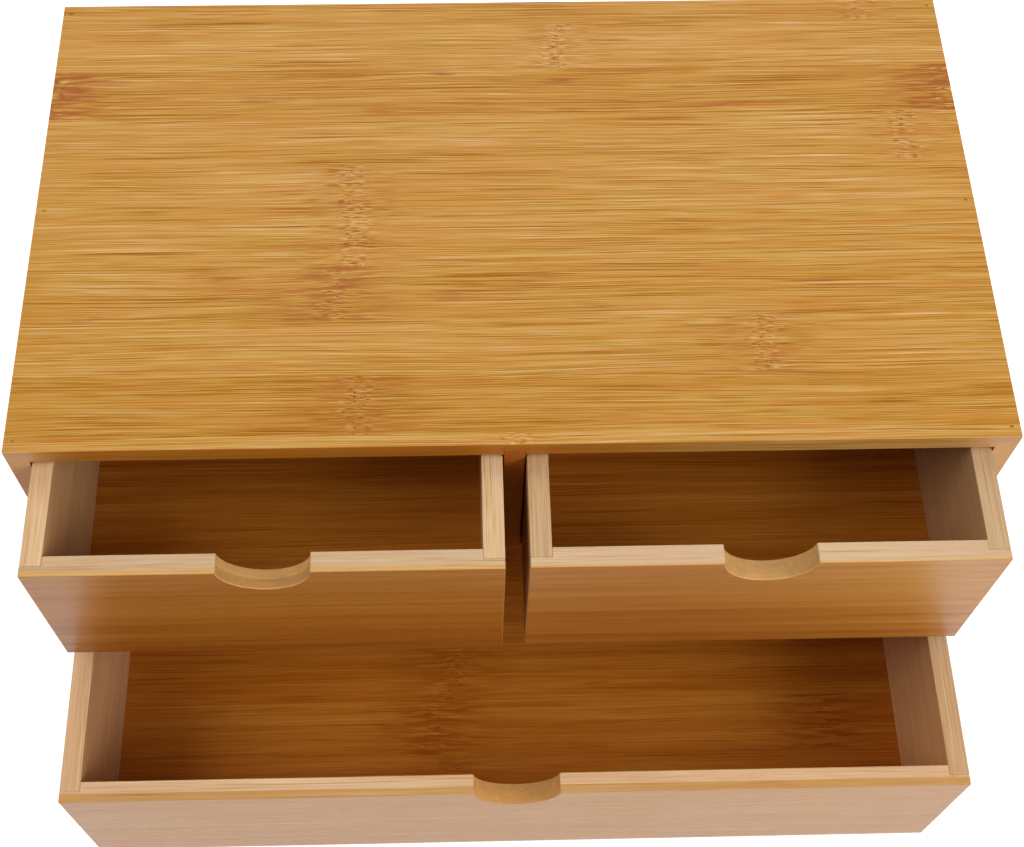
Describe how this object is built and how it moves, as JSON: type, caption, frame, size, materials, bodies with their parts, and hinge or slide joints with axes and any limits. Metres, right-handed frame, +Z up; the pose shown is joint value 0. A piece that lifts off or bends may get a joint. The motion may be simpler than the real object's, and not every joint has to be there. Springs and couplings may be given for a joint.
{
  "type": "desktop mini drawers",
  "caption": "Desktop mini drawers in laminated bamboo: small drawers side by side above a wide one, in a rabbeted case, each sliding out on wood by a half-round finger notch.",
  "frame": {"origin": "the middle of the case's underside, the flat face that it rests on", "axes": "+X to the right as seen from the front, -Y out of the drawer fronts, +Z up"},
  "size_m": [0.33, 0.2775, 0.1676],
  "materials": {
    "bamboo_top": "satin lacquer over golden laminated bamboo, grain along the width",
    "bamboo_case": "satin lacquer over laminated bamboo",
    "bamboo_front": "satin lacquer over laminated bamboo, grain along the width",
    "bamboo_drawer": "satin lacquer over pale laminated bamboo",
    "bamboo_floor": "satin lacquer over laminated bamboo, grain along the width",
    "brad_steel": "dull steel"
  },
  "bodies": {
    "case": {"top_panel": "bamboo_top", "bottom_panel": "bamboo_case", "left_side_panel": "bamboo_case", "right_side_panel": "bamboo_case", "middle_shelf": "bamboo_case", "divider": "bamboo_case", "back_panel": "bamboo_case", "case_brads": "brad_steel"},
    "left_drawer": {"left_drawer_front": "bamboo_front", "left_drawer_left_side": "bamboo_drawer", "left_drawer_right_side": "bamboo_drawer", "left_drawer_back": "bamboo_drawer", "left_drawer_floor": "bamboo_floor"},
    "right_drawer": {"right_drawer_front": "bamboo_front", "right_drawer_left_side": "bamboo_drawer", "right_drawer_right_side": "bamboo_drawer", "right_drawer_back": "bamboo_drawer", "right_drawer_floor": "bamboo_floor"},
    "wide_drawer": {"wide_drawer_front": "bamboo_front", "wide_drawer_left_side": "bamboo_drawer", "wide_drawer_right_side": "bamboo_drawer", "wide_drawer_back": "bamboo_drawer", "wide_drawer_floor": "bamboo_floor"}
  },
  "joints": [
    {"name": "left_drawer_slide", "type": "slide", "parent": "case", "child": "left_drawer", "axis": [0, -1, 0], "range_m": [-0.0392, 0.1008]},
    {"name": "right_drawer_slide", "type": "slide", "parent": "case", "child": "right_drawer", "axis": [0, -1, 0], "range_m": [-0.039, 0.101]},
    {"name": "wide_drawer_slide", "type": "slide", "parent": "case", "child": "wide_drawer", "axis": [0, -1, 0], "range_m": [-0.0895, 0.0505]}
  ]
}
